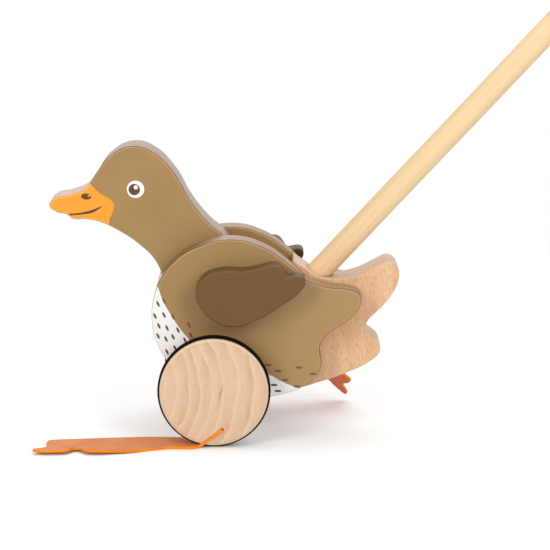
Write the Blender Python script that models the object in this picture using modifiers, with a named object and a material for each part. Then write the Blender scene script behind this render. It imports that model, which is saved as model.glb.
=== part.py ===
"""A push-along duck: flat boards glued round a two-part core, on a pair of wheels with strap feet.

Metres, +Z up. The duck faces -X, its left side is -Y, and the floor under the axle's middle is the origin.
"""

import math

import bmesh
import bpy
from mathutils import Vector

# Boards, through the thickness
CORE_THICKNESS = 0.028
FLANK_THICKNESS = 0.017
WING_THICKNESS = 0.016
GLUE_GAP = 0.0003
EDGE_ROUND = 0.0012

# Wheels and axle
WHEEL_DIAMETER = 0.070
WHEEL_WIDTH = 0.0112
WHEEL_EDGE_ROUND = 0.0016
WHEEL_EDGE_STEPS = 4
TYRE_WIDTH = 0.0054
TYRE_THICKNESS = 0.0021
TYRE_PROUD = 0.0013
TYRE_SHOULDER = 0.0006
HUB_DIAMETER = 0.024
HUB_WIDTH = 0.0081
HUB_CHAMFER = 0.0008
WASHER_DIAMETER = 0.018
WASHER_THICKNESS = 0.001
AXLE_DIAMETER = 0.008
AXLE_RUNNING_GAP = 0.0001
AXLE_SEAT_DEPTH = 0.0055
RUNNING_GAP = 0.0003

# Strap feet: each is one strip, glued in a slanted saw cut in its wheel
FOOT_THICKNESS = 0.0016
STRAP_WIDTH = 0.0219
STRAP_PROUD = 0.0034
TAB_PROUD = 0.0012
FOOT_LENGTH = 0.102
CUT_DEPTH = 0.0173
CUT_END_ROOM = 0.0009
CUT_ANGLE = math.radians(37)
CUT_CLEARANCE = 0.0003
FOLD_RADIUS = 0.0016
DROOP_RADIUS = 0.0075
DROOP_SLOPE = math.radians(36)
DROOP_TWIST = math.radians(33)

# Push stick and its socket
STICK_DIAMETER = 0.0152
STICK_LENGTH = 0.530
STICK_LEAN = math.radians(42.9)
STICK_END_ROUND = 0.003
SOCKET_DEPTH = 0.030
SOCKET_GAP = 0.0003
STICK_ENTRY = (0.064, 0.0646)

# Hidden dowels, with their places measured from the axle
DOWEL_DIAMETER = 0.008
DOWEL_BITE = 0.010
WING_DOWEL_DIAMETER = 0.006
WING_DOWEL_BITE = 0.007
DOWEL_GAP = 0.0003
DOWEL_CHAMFER = 0.0006
DOWELS = {
    "neck_dowel": (-0.020, 0.065),
    "breast_dowel": (-0.016, 0.027),
    "rump_dowel": (0.072, 0.049),
    "tail_dowel": (0.050, 0.011),
}
WING_DOWELS = {"wing_dowel_front": (0.006, 0.018), "wing_dowel_rear": (0.036, 0.022)}

# Room between the tyre's top and the wing's lower edge, where a foot passes; the right wing sits higher
WING_GAP = 0.0053
RIGHT_WING_LIFT = 0.003

# Outlines: a smooth closed curve runs through the points, measured from the axle in X and Z
HEAD_OUTLINE = [
    (-0.1032, 0.1108), (-0.1008, 0.1143), (-0.0898, 0.1174), (-0.0804, 0.1214), (-0.0745, 0.1290),
    (-0.0652, 0.1416), (-0.0502, 0.1481), (-0.0372, 0.1437), (-0.0251, 0.1312), (-0.0145, 0.1129),
    (-0.0035, 0.0994), (0.0068, 0.0902), (0.0125, 0.0790), (0.0120, 0.0450), (0.0115, 0.0080),
    (0.0060, -0.0073), (-0.0080, -0.0035), (-0.0220, 0.0100), (-0.0315, 0.0270), (-0.0345, 0.0450),
    (-0.0331, 0.0647), (-0.0375, 0.0759), (-0.0467, 0.0855), (-0.0590, 0.0941), (-0.0713, 0.1000),
    (-0.0800, 0.1019), (-0.0892, 0.1024), (-0.0919, 0.1046), (-0.0992, 0.1067),
]
FLANK_OUTLINE = [
    (-0.0391, 0.0420), (-0.0355, 0.0620), (-0.0240, 0.0790), (-0.0080, 0.0884), (0.0100, 0.0922),
    (0.0290, 0.0880), (0.0473, 0.0758), (0.0580, 0.0662), (0.0700, 0.0622), (0.0830, 0.0606),
    (0.0906, 0.0570), (0.0904, 0.0494), (0.0820, 0.0400), (0.0700, 0.0320), (0.0656, 0.0240),
    (0.0667, 0.0130), (0.0630, 0.0041), (0.0524, -0.0029), (0.0355, -0.0080), (0.0140, -0.0115),
    (-0.0080, -0.0060), (-0.0240, 0.0080), (-0.0350, 0.0240),
]
TAIL_OUTLINE = [
    (0.0478, 0.0680), (0.0489, 0.0742), (0.0497, 0.0754), (0.0512, 0.0744), (0.0562, 0.0711),
    (0.0600, 0.0682), (0.0650, 0.0653), (0.0750, 0.0637), (0.0900, 0.0665), (0.1020, 0.0723),
    (0.1088, 0.0751), (0.1122, 0.0739), (0.1146, 0.0714), (0.1157, 0.0676), (0.1153, 0.0632),
    (0.1135, 0.0580), (0.1102, 0.0524), (0.1062, 0.0473), (0.1012, 0.0423), (0.0966, 0.0375),
    (0.0951, 0.0345), (0.0951, 0.0315), (0.0970, 0.0286), (0.1000, 0.0264), (0.1028, 0.0238),
    (0.1042, 0.0205), (0.1040, 0.0170), (0.0980, 0.0110), (0.0840, 0.0038), (0.0660, -0.0026),
    (0.0510, -0.0065), (0.0340, -0.0050), (0.0230, 0.0030), (0.0205, 0.0180), (0.0240, 0.0380),
    (0.0340, 0.0520), (0.0440, 0.0610),
]

# The wing's outline is measured from the axle in X and from its own lowest point in Z
WING_OUTLINE = [
    (-0.0110, 0.0195), (-0.0066, 0.0303), (0.0040, 0.0348), (0.0200, 0.0350), (0.0290, 0.0367),
    (0.0365, 0.0384), (0.0400, 0.0376), (0.0428, 0.0346), (0.0446, 0.0319), (0.0460, 0.0308),
    (0.0490, 0.0312), (0.0535, 0.0315), (0.0558, 0.0300), (0.0560, 0.0266), (0.0520, 0.0207),
    (0.0410, 0.0128), (0.0270, 0.0042), (0.0122, 0.0000), (0.0000, 0.0035), (-0.0078, 0.0110),
]

# The foot: shares of its length from the rim and of the strap's width from inner to outer edge
FOOT_OUTLINE = [
    (0.314, 0.000), (0.471, 0.068), (0.627, 0.132), (0.784, 0.210), (0.902, 0.265), (0.928, 0.315),
    (0.936, 0.443), (0.934, 0.704), (0.926, 0.944), (0.935, 1.147), (0.980, 1.336), (1.000, 1.478),
    (0.996, 1.563), (0.971, 1.620), (0.853, 1.633), (0.799, 1.592), (0.740, 1.281), (0.686, 1.579),
    (0.627, 1.652), (0.510, 1.555), (0.412, 1.426), (0.333, 1.253), (0.265, 1.119), (0.196, 1.009),
    (0.049, 1.000),
]

# Smoothness
OUTLINE_STEPS = 3
ROUND_STEPS = 48
MIDDLE_ROUND_STEPS = 24
SMALL_ROUND_STEPS = 16
ARC_STEPS = 4
TWIST_STEPS = 6

# Places worked out from the sizes above
WHEEL_RADIUS = WHEEL_DIAMETER / 2
AXLE_HEIGHT = WHEEL_RADIUS
FLANK_INNER = CORE_THICKNESS / 2 + GLUE_GAP
FLANK_OUTER = FLANK_INNER + FLANK_THICKNESS
WING_INNER = FLANK_OUTER + GLUE_GAP
WASHER_INNER = FLANK_OUTER + RUNNING_GAP
HUB_INNER = WASHER_INNER + WASHER_THICKNESS + RUNNING_GAP
WHEEL_INNER = HUB_INNER + HUB_WIDTH + GLUE_GAP
WHEEL_FACE = WHEEL_INNER + WHEEL_WIDTH
TYRE_INNER = WHEEL_INNER + (WHEEL_WIDTH - TYRE_WIDTH) / 2
TYRE_OUTER = TYRE_INNER + TYRE_WIDTH
RIM_RADIUS = WHEEL_RADIUS - TYRE_PROUD
GROOVE_RADIUS = WHEEL_RADIUS - TYRE_THICKNESS - GLUE_GAP
WING_BASE = {"left": WHEEL_RADIUS + WING_GAP, "right": WHEEL_RADIUS + WING_GAP + RIGHT_WING_LIFT}
FOOT_MIDDLE = WHEEL_FACE + STRAP_PROUD - STRAP_WIDTH / 2

# The saw cut's mouth is turned forward just so far that the folded foot lies on the floor
MOUTH_LIFT = FOOT_THICKNESS / 2 + FOLD_RADIUS * (1 - math.cos(CUT_ANGLE))
MOUTH_TURN = math.acos(1 - MOUTH_LIFT / WHEEL_RADIUS)

# Colours and finishes: base colour, roughness
FINISHES = {
    "tan_print": ((0.42, 0.26, 0.115), 0.5),
    "brown_stain": ((0.20, 0.115, 0.05), 0.5),
    "beech": ((0.78, 0.48, 0.28), 0.5),
    "pale_beech": ((0.78, 0.58, 0.40), 0.5),
    "birch": ((0.84, 0.63, 0.36), 0.45),
    "rubber": ((0.008, 0.007, 0.006), 0.6),
    "orange_leather": ((0.80, 0.24, 0.04), 0.55),
    "felt": ((0.30, 0.29, 0.27), 0.9),
}

SIDES = {"left": -1, "right": 1}


def clear_scene():
    for obj in list(bpy.data.objects):
        bpy.data.objects.remove(obj)


def add_collection(name):
    collection = bpy.data.collections.new(name)
    bpy.context.scene.collection.children.link(collection)
    return collection


def add_material(name):
    colour, roughness = FINISHES[name]
    material = bpy.data.materials.new(name)
    material.use_nodes = True
    shader = material.node_tree.nodes["Principled BSDF"]
    shader.inputs["Base Color"].default_value = (*colour, 1)
    shader.inputs["Roughness"].default_value = roughness
    shader.inputs["Metallic"].default_value = 0
    return material


def add_object(name, mesh, collection):
    obj = bpy.data.objects.new(name, mesh)
    collection.objects.link(obj)
    return obj


def add_pivot(name, place, parent=None):
    """An empty at a place given in the world; pieces that move together hang from it."""
    pivot = bpy.data.objects.new(name, None)
    parts.objects.link(pivot)
    pivot["place"] = place
    pivot.empty_display_size = AXLE_DIAMETER
    attach(pivot, parent, place)
    return pivot


def attach(obj, pivot, place):
    """Hangs obj from the pivot, with its own origin at a place given in the world."""
    obj.parent = pivot
    held_at = Vector(pivot["place"]) if pivot else Vector()
    obj.location = Vector(place) - held_at


def finish(obj, material):
    obj.data.materials.append(materials[material])


def make_cutter(obj):
    obj.hide_render = True
    obj.display_type = "WIRE"
    return obj


def cut(obj, *tools):
    for tool in tools:
        modifier = obj.modifiers.new("cut " + tool.name, "BOOLEAN")
        modifier.operation = "DIFFERENCE"
        modifier.solver = "EXACT"
        modifier.object = tool


def flat_curve(name, points, half_thickness, edge_round, corners=()):
    """A filled smooth outline through the points, with rounded rims and square corners where asked."""
    curve = bpy.data.curves.new(name, "CURVE")
    curve.dimensions = "2D"
    curve.fill_mode = "BOTH"
    curve.extrude = half_thickness - edge_round
    curve.bevel_depth = edge_round
    curve.bevel_resolution = 0
    curve.offset = -edge_round
    curve.resolution_u = OUTLINE_STEPS
    spline = curve.splines.new("BEZIER")
    spline.bezier_points.add(len(points) - 1)
    spline.use_cyclic_u = True
    for index, (knot, (across, up)) in enumerate(zip(spline.bezier_points, points)):
        knot.co = (across, up, 0)
        kind = "VECTOR" if index in corners else "AUTO"
        knot.handle_left_type = kind
        knot.handle_right_type = kind
    return curve


def curve_to_mesh(name, curve):
    """The curve's solid as a mesh with its caps welded to its rim."""
    helper = add_object(name + "_outline", curve, parts)
    bpy.context.view_layer.update()
    evaluated = helper.evaluated_get(bpy.context.evaluated_depsgraph_get())
    mesh = bpy.data.meshes.new_from_object(evaluated)
    mesh.name = name
    bpy.data.objects.remove(helper)
    cage = bmesh.new()
    cage.from_mesh(mesh)
    bmesh.ops.remove_doubles(cage, verts=cage.verts, dist=1e-6)
    bmesh.ops.dissolve_limit(cage, angle_limit=math.radians(1), verts=cage.verts, edges=cage.edges)
    bmesh.ops.recalc_face_normals(cage, faces=cage.faces)
    cage.to_mesh(mesh)
    cage.free()
    return mesh


def add_board(name, points, thickness, middle, base, material):
    """A board standing in the XZ plane, with its thickness centred on y = middle."""
    mesh = curve_to_mesh(name, flat_curve(name, points, thickness / 2, EDGE_ROUND))
    board = add_object(name, mesh, parts)
    board.rotation_euler = (math.pi / 2, 0, 0)
    attach(board, body_pivot, (0, middle, AXLE_HEIGHT + base))
    finish(board, material)
    return board


def turned_mesh(name, profile, ring):
    """A profile of (radius, height) points, top to bottom down the outer side, ready for a Screw."""
    mesh = bpy.data.meshes.new(name)
    points = [(radius, 0, height) for radius, height in profile]
    edges = [(i, i + 1) for i in range(len(points) - 1)]
    if ring:
        edges.append((len(points) - 1, 0))
    mesh.from_pydata(points, edges, [])
    return mesh


def add_turned(name, profile, steps, collection, ring=False):
    obj = add_object(name, turned_mesh(name, profile, ring), collection)
    screw = obj.modifiers.new("turn", "SCREW")
    screw.steps = steps
    screw.render_steps = steps
    screw.use_merge_vertices = True
    screw.merge_threshold = 1e-6
    screw.use_smooth_shade = True
    return obj


def drill_profile(radius, low, high):
    return [(0, high), (radius, high), (radius, low), (0, low)]


def pin_profile(radius, low, high, chamfer):
    return [
        (0, high), (radius - chamfer, high), (radius, high - chamfer),
        (radius, low + chamfer), (radius - chamfer, low), (0, low),
    ]


def ring_profile(inner, outer, low, high, chamfer):
    return [
        (inner, high), (outer - chamfer, high), (outer, high - chamfer),
        (outer, low + chamfer), (outer - chamfer, low), (inner, low),
    ]


def lay_across(obj, side=1):
    """Turns a piece made along +Z to point out of the duck's side."""
    obj.rotation_euler = (-side * math.pi / 2, 0, 0)


def add_hole_tool(name, radius, low, high, place, side=1):
    """A drill along Y, from low to high out of the given side, at a place (x, z) measured from the axle."""
    tool = add_turned(name, drill_profile(radius, low, high), SMALL_ROUND_STEPS, cutters)
    tool.data.name = name
    lay_across(tool, side)
    tool.location = (place[0], 0, AXLE_HEIGHT + place[1])
    return make_cutter(tool)


def add_cross_dowels():
    """Dowels through the core and part way into both flanks, and the drills for their holes."""
    reach = FLANK_INNER + DOWEL_BITE
    radius = DOWEL_DIAMETER / 2
    drills = {}
    for name, place in DOWELS.items():
        dowel = add_turned(name, pin_profile(radius, -reach, reach, DOWEL_CHAMFER), SMALL_ROUND_STEPS, parts)
        lay_across(dowel)
        attach(dowel, body_pivot, (place[0], 0, AXLE_HEIGHT + place[1]))
        finish(dowel, "birch")
        hole_reach = reach + DOWEL_GAP
        drills[name] = add_hole_tool(name + "_drill", radius + DOWEL_GAP, -hole_reach, hole_reach, place)
    return drills


def add_wing_dowels(side_name, side):
    """Short dowels between a flank and its wing, and the drills for their holes."""
    low = FLANK_OUTER - WING_DOWEL_BITE
    high = WING_INNER + WING_DOWEL_BITE
    radius = WING_DOWEL_DIAMETER / 2
    drills = []
    for name, (across, up) in WING_DOWELS.items():
        dowel = add_turned(
            f"{side_name}_{name}", pin_profile(radius, low, high, DOWEL_CHAMFER), SMALL_ROUND_STEPS, parts
        )
        lay_across(dowel, side)
        height = WING_BASE[side_name] + up
        attach(dowel, body_pivot, (across, 0, AXLE_HEIGHT + height))
        finish(dowel, "birch")
        drills.append(
            add_hole_tool(
                f"{side_name}_{name}_drill", radius + DOWEL_GAP, low - DOWEL_GAP, high + DOWEL_GAP,
                (across, height), side,
            )
        )
    return drills


def add_stick():
    """The push stick in its slanted blind socket, and the drill for the socket."""
    radius = STICK_DIAMETER / 2
    top = STICK_LENGTH - SOCKET_DEPTH
    rounded = [
        (
            radius - STICK_END_ROUND * (1 - math.sin(turn)),
            top - STICK_END_ROUND * (1 - math.cos(turn)),
        )
        for turn in (math.pi / 2 * step / ARC_STEPS for step in range(ARC_STEPS + 1))
    ]
    bottom = -SOCKET_DEPTH
    foot = [(radius, bottom + DOWEL_CHAMFER), (radius - DOWEL_CHAMFER, bottom), (0, bottom)]
    stick = add_turned("push_stick", [(0, top)] + rounded + foot, MIDDLE_ROUND_STEPS, parts)
    entry = (STICK_ENTRY[0], 0, AXLE_HEIGHT + STICK_ENTRY[1])
    stick.rotation_euler = (0, STICK_LEAN, 0)
    attach(stick, body_pivot, entry)
    finish(stick, "birch")

    clear_of_block = 3 * STICK_DIAMETER
    profile = drill_profile(radius + SOCKET_GAP, -SOCKET_DEPTH - SOCKET_GAP, clear_of_block)
    drill = add_turned("stick_socket_drill", profile, MIDDLE_ROUND_STEPS, cutters)
    drill.rotation_euler = (0, STICK_LEAN, 0)
    drill.location = entry
    make_cutter(drill)
    return drill


def foot_bends(side):
    """The bend a foot takes at the rim: (radius, angle). The left one lies flat, the right one droops."""
    if side < 0:
        return FOLD_RADIUS, CUT_ANGLE
    return DROOP_RADIUS, CUT_ANGLE + DROOP_SLOPE


def foot_place(side, along):
    """(point, up) of the strip's middle at a distance along from the rim, as X and Z from the axle."""
    bend_radius, bend_angle = foot_bends(side)
    mouth = WHEEL_RADIUS * Vector((-math.sin(MOUTH_TURN), -math.cos(MOUTH_TURN)))
    heading = math.pi + CUT_ANGLE
    turn = min(max(along / bend_radius, 0), bend_angle)
    straight = along - turn * bend_radius
    start = Vector((math.cos(heading), math.sin(heading)))
    hub = mouth + bend_radius * Vector((start.y, -start.x))
    end = Vector((math.cos(heading - turn), math.sin(heading - turn)))
    up = Vector((end.y, -end.x))
    point = hub - bend_radius * up + straight * end
    return (point, up) if side < 0 else (-point, -up)


def foot_roll(side, along):
    """The strip's twist about its length: the drooping foot's outer edge hangs lower towards the toes."""
    if side < 0:
        return 0
    loose = max(along - split_place(side), 0)
    return -DROOP_TWIST * loose / (FOOT_LENGTH - split_place(side))


def foot_points():
    """The flat strip's outline: distance along from the rim, and place across out of the duck's side."""
    inner = WHEEL_FACE + STRAP_PROUD - STRAP_WIDTH
    end = WHEEL_FACE + TAB_PROUD
    tab = [(0, end), (-CUT_DEPTH, end), (-CUT_DEPTH, inner), (0, inner)]
    return tab + [(length * FOOT_LENGTH, inner + width * STRAP_WIDTH) for length, width in FOOT_OUTLINE]


def cut_across(cage, along, keep=0):
    """Slices the flat strip at a distance along; keep +1 or -1 drops the other side and caps the cut."""
    sliced = bmesh.ops.bisect_plane(
        cage, geom=cage.verts[:] + cage.edges[:] + cage.faces[:], dist=1e-7,
        plane_co=(along, 0, 0), plane_no=(1, 0, 0), clear_inner=keep > 0, clear_outer=keep < 0,
    )
    if keep:
        rim = [item for item in sliced["geom_cut"] if isinstance(item, bmesh.types.BMEdge)]
        bmesh.ops.holes_fill(cage, edges=rim)


def bend_strip(cage, side, pivot_place):
    """Wraps a flat strip, with its length along X, round the foot's path, as seen from the pivot."""
    for vertex in cage.verts:
        along, across, thick = vertex.co
        point, up = foot_place(side, along)
        roll = foot_roll(side, along)
        outward = across - FOOT_MIDDLE
        place = point + (thick * math.cos(roll) - outward * math.sin(roll)) * up
        across = FOOT_MIDDLE + outward * math.cos(roll) + thick * math.sin(roll)
        vertex.co = Vector((place.x, side * across, AXLE_HEIGHT + place.y)) - pivot_place
    if cage.calc_volume(signed=True) < 0:
        bmesh.ops.reverse_faces(cage, faces=cage.faces)


def bend_steps(side):
    bend_radius, bend_angle = foot_bends(side)
    return [bend_radius * bend_angle * step / ARC_STEPS for step in range(1, ARC_STEPS + 1)]


def split_place(side):
    """Where the strip leaves its bend: the tab stays with the wheel, the foot moves from here."""
    return bend_steps(side)[-1]


def add_foot_piece(name, side, pivot, moving):
    """One end of the strip: the tab in the saw cut with its bend, or the free foot."""
    corners = (0, 1, 2, 3)
    mesh = curve_to_mesh(name, flat_curve(name, foot_points(), FOOT_THICKNESS / 2, 0, corners))
    split = split_place(side)
    cage = bmesh.new()
    cage.from_mesh(mesh)
    if moving:
        cut_across(cage, split + GLUE_GAP, keep=1)
        for step in range(1, TWIST_STEPS):
            cut_across(cage, split + step * (FOOT_LENGTH - split) / TWIST_STEPS)
    else:
        cut_across(cage, split, keep=-1)
        for along in [0] + bend_steps(side)[:-1]:
            cut_across(cage, along)
    bend_strip(cage, side, Vector(pivot["place"]))
    cage.to_mesh(mesh)
    cage.free()
    piece = add_object(name, mesh, parts)
    attach(piece, pivot, pivot["place"])
    finish(piece, "orange_leather")
    return piece


def add_saw_cut(name, side):
    """The saw's path through rim and tyre: the strip's own path, wider and thicker by the clearance."""
    low = WHEEL_INNER - WHEEL_WIDTH / 2
    high = WHEEL_FACE + WHEEL_WIDTH / 2
    start = -CUT_DEPTH - CUT_END_ROOM
    end = split_place(side) + CUT_DEPTH / 2
    outline = [(start, low), (end, low), (end, high), (start, high)]
    half = FOOT_THICKNESS / 2 + CUT_CLEARANCE
    mesh = curve_to_mesh(name, flat_curve(name, outline, half, 0, range(4)))
    cage = bmesh.new()
    cage.from_mesh(mesh)
    for along in [0] + bend_steps(side):
        cut_across(cage, along)
    bend_strip(cage, side, Vector())
    cage.to_mesh(mesh)
    cage.free()
    return make_cutter(add_object(name, mesh, cutters))


def foot_pivot_place(side):
    point, _ = foot_place(side, split_place(side))
    return (point.x, side * FOOT_MIDDLE, AXLE_HEIGHT + point.y)


def wheel_edges():
    """The rounded outer and inner edges of a wheel's disc, as profile points from face to rim and back."""
    turns = [math.pi / 2 * step / WHEEL_EDGE_STEPS for step in range(WHEEL_EDGE_STEPS + 1)]
    corner = [
        (RIM_RADIUS - WHEEL_EDGE_ROUND * (1 - math.sin(turn)), WHEEL_EDGE_ROUND * (1 - math.cos(turn)))
        for turn in turns
    ]
    outer = [(radius, WHEEL_FACE - inset) for radius, inset in corner]
    inner = [(radius, WHEEL_INNER + inset) for radius, inset in reversed(corner)]
    return outer, inner


def add_wheel(side_name, side):
    """A disc with a tyre groove and a blind axle seat, its hub, tyre and washer, all turned on the axle line."""
    seat = AXLE_DIAMETER / 2 + AXLE_RUNNING_GAP
    seat_end = WHEEL_INNER + AXLE_SEAT_DEPTH
    outer_edge, inner_edge = wheel_edges()
    groove = [
        (RIM_RADIUS, TYRE_OUTER + GLUE_GAP), (GROOVE_RADIUS, TYRE_OUTER + GLUE_GAP),
        (GROOVE_RADIUS, TYRE_INNER - GLUE_GAP), (RIM_RADIUS, TYRE_INNER - GLUE_GAP),
    ]
    axle_seat = [(seat, WHEEL_INNER), (seat, seat_end), (0, seat_end)]
    disc = [(0, WHEEL_FACE)] + outer_edge + groove + inner_edge + axle_seat
    inner_tyre = WHEEL_RADIUS - TYRE_THICKNESS
    hub_high = HUB_INNER + HUB_WIDTH
    washer_high = WASHER_INNER + WASHER_THICKNESS
    pieces = {
        "wheel": (disc, False, "pale_beech", ROUND_STEPS),
        "tyre": (
            ring_profile(inner_tyre, WHEEL_RADIUS, TYRE_INNER, TYRE_OUTER, TYRE_SHOULDER),
            True, "rubber", ROUND_STEPS,
        ),
        "hub": (
            ring_profile(seat, HUB_DIAMETER / 2, HUB_INNER, hub_high, HUB_CHAMFER),
            True, "pale_beech", MIDDLE_ROUND_STEPS,
        ),
        "washer": (
            [
                (seat, washer_high), (WASHER_DIAMETER / 2, washer_high),
                (WASHER_DIAMETER / 2, WASHER_INNER), (seat, WASHER_INNER),
            ],
            True, "felt", MIDDLE_ROUND_STEPS,
        ),
    }
    made = {}
    for kind, (profile, ring, material, steps) in pieces.items():
        piece = add_turned(f"{side_name}_{kind}", profile, steps, parts, ring)
        lay_across(piece, side)
        attach(piece, axle_pivot, axle_place)
        finish(piece, material)
        made[kind] = piece
    saw = add_saw_cut(side_name + "_saw_cut", side)
    cut(made["wheel"], saw)
    cut(made["tyre"], saw)


def add_axle():
    """The axle, seated in both wheels, and the drill for its running bore through flanks and core."""
    reach = WHEEL_INNER + AXLE_SEAT_DEPTH - GLUE_GAP
    radius = AXLE_DIAMETER / 2
    axle = add_turned("axle", pin_profile(radius, -reach, reach, DOWEL_CHAMFER), SMALL_ROUND_STEPS, parts)
    lay_across(axle)
    attach(axle, axle_pivot, axle_place)
    finish(axle, "birch")
    bore = radius + AXLE_RUNNING_GAP
    return add_hole_tool("axle_drill", bore, -WHEEL_FACE, WHEEL_FACE, (0, 0))


clear_scene()
parts = add_collection("push_along_duck")
cutters = add_collection("cutters")
materials = {name: add_material(name) for name in FINISHES}

axle_place = (0, 0, AXLE_HEIGHT)
body_pivot = add_pivot("duck_body", (0, 0, 0))
axle_pivot = add_pivot("axle_line", axle_place, body_pivot)

cross_drills = add_cross_dowels()
axle_drill = add_axle()
socket_drill = add_stick()

head = add_board("head_board", HEAD_OUTLINE, CORE_THICKNESS, 0, 0, "tan_print")
cut(head, cross_drills["neck_dowel"], cross_drills["breast_dowel"], axle_drill)
tail = add_board("tail_block", TAIL_OUTLINE, CORE_THICKNESS, 0, 0, "beech")
cut(tail, cross_drills["rump_dowel"], cross_drills["tail_dowel"], socket_drill)

for side_name, side in SIDES.items():
    wing_drills = add_wing_dowels(side_name, side)
    flank_middle = side * (FLANK_INNER + FLANK_THICKNESS / 2)
    flank = add_board(side_name + "_flank", FLANK_OUTLINE, FLANK_THICKNESS, flank_middle, 0, "tan_print")
    cut(flank, *cross_drills.values(), *wing_drills, axle_drill)
    wing_middle = side * (WING_INNER + WING_THICKNESS / 2)
    wing_base = WING_BASE[side_name]
    wing = add_board(side_name + "_wing", WING_OUTLINE, WING_THICKNESS, wing_middle, wing_base, "brown_stain")
    cut(wing, *wing_drills)
    add_wheel(side_name, side)
    add_foot_piece(side_name + "_foot_tab", side, axle_pivot, moving=False)
    foot_pivot = add_pivot(side_name + "_foot_line", foot_pivot_place(side), axle_pivot)
    add_foot_piece(side_name + "_foot", side, foot_pivot, moving=True)
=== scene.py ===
"""Looks of the push-along duck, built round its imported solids.

Metres, +Z up. The duck faces -X, its left side is -Y, and the floor under the axle's middle is the origin.
"""

import math

import bmesh
import bpy
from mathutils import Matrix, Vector


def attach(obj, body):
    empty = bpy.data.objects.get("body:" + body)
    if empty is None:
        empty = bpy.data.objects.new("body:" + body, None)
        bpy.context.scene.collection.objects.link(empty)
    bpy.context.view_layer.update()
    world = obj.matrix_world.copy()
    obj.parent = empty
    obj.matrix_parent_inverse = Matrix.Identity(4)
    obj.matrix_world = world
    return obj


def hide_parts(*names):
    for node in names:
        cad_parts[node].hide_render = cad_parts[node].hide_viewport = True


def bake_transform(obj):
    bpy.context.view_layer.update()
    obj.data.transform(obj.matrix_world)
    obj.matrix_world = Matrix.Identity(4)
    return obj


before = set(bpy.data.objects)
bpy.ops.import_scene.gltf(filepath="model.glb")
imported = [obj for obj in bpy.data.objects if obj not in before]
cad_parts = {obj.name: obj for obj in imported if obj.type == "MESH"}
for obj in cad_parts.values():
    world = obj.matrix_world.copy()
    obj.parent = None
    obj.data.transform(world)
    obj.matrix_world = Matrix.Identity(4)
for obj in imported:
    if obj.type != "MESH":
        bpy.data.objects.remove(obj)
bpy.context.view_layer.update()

# ---------------------------------------------------------------- sizes, as in the solids

CORE_THICKNESS = 0.028
FLANK_THICKNESS = 0.017
WING_THICKNESS = 0.016
GLUE_GAP = 0.0003
RUNNING_GAP = 0.0003

WHEEL_RADIUS = 0.035
WHEEL_WIDTH = 0.0112
WHEEL_EDGE_ROUND = 0.0016
TYRE_WIDTH = 0.0054
TYRE_THICKNESS = 0.0021
TYRE_PROUD = 0.0013
TYRE_SHOULDER = 0.0006
HUB_WIDTH = 0.0081
WASHER_THICKNESS = 0.001
AXLE_BORE_RADIUS = 0.0041
AXLE_SEAT_DEPTH = 0.0055

FOOT_THICKNESS = 0.0016
STRAP_WIDTH = 0.0219
STRAP_PROUD = 0.0034
TAB_PROUD = 0.0012
FOOT_LENGTH = 0.102
CUT_DEPTH = 0.0173
CUT_END_ROOM = 0.0009
CUT_ANGLE = math.radians(37)
FOLD_RADIUS = 0.0016
DROOP_RADIUS = 0.0075
DROOP_SLOPE = math.radians(36)
DROOP_TWIST = math.radians(33)

STICK_RADIUS = 0.0076
STICK_LENGTH = 0.530
STICK_LEAN = math.radians(42.9)
STICK_END_ROUND = 0.003
SOCKET_DEPTH = 0.030
SOCKET_GAP = 0.0003
STICK_ENTRY = (0.064, 0.0646)
SOCKET_DRILL_TOP = 6 * STICK_RADIUS

DOWEL_RADIUS = 0.004
DOWEL_BITE = 0.010
WING_DOWEL_RADIUS = 0.003
WING_DOWEL_BITE = 0.007
DOWEL_GAP = 0.0003
NECK_DOWEL = (-0.020, 0.065)
BREAST_DOWEL = (-0.016, 0.027)
RUMP_DOWEL = (0.072, 0.049)
TAIL_DOWEL = (0.050, 0.011)
WING_DOWELS = [(0.006, 0.018), (0.036, 0.022)]

WING_GAP = 0.0053
RIGHT_WING_LIFT = 0.003

# Outlines: a smooth closed curve runs through the points, measured from the axle in X and Z
HEAD_OUTLINE = [
    (-0.1032, 0.1108), (-0.1008, 0.1143), (-0.0898, 0.1174), (-0.0804, 0.1214), (-0.0745, 0.1290),
    (-0.0652, 0.1416), (-0.0502, 0.1481), (-0.0372, 0.1437), (-0.0251, 0.1312), (-0.0145, 0.1129),
    (-0.0035, 0.0994), (0.0068, 0.0902), (0.0125, 0.0790), (0.0120, 0.0450), (0.0115, 0.0080),
    (0.0060, -0.0073), (-0.0080, -0.0035), (-0.0220, 0.0100), (-0.0315, 0.0270), (-0.0345, 0.0450),
    (-0.0331, 0.0647), (-0.0375, 0.0759), (-0.0467, 0.0855), (-0.0590, 0.0941), (-0.0713, 0.1000),
    (-0.0800, 0.1019), (-0.0892, 0.1024), (-0.0919, 0.1046), (-0.0992, 0.1067),
]
FLANK_OUTLINE = [
    (-0.0391, 0.0420), (-0.0355, 0.0620), (-0.0240, 0.0790), (-0.0080, 0.0884), (0.0100, 0.0922),
    (0.0290, 0.0880), (0.0473, 0.0758), (0.0580, 0.0662), (0.0700, 0.0622), (0.0830, 0.0606),
    (0.0906, 0.0570), (0.0904, 0.0494), (0.0820, 0.0400), (0.0700, 0.0320), (0.0656, 0.0240),
    (0.0667, 0.0130), (0.0630, 0.0041), (0.0524, -0.0029), (0.0355, -0.0080), (0.0140, -0.0115),
    (-0.0080, -0.0060), (-0.0240, 0.0080), (-0.0350, 0.0240),
]
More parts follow.
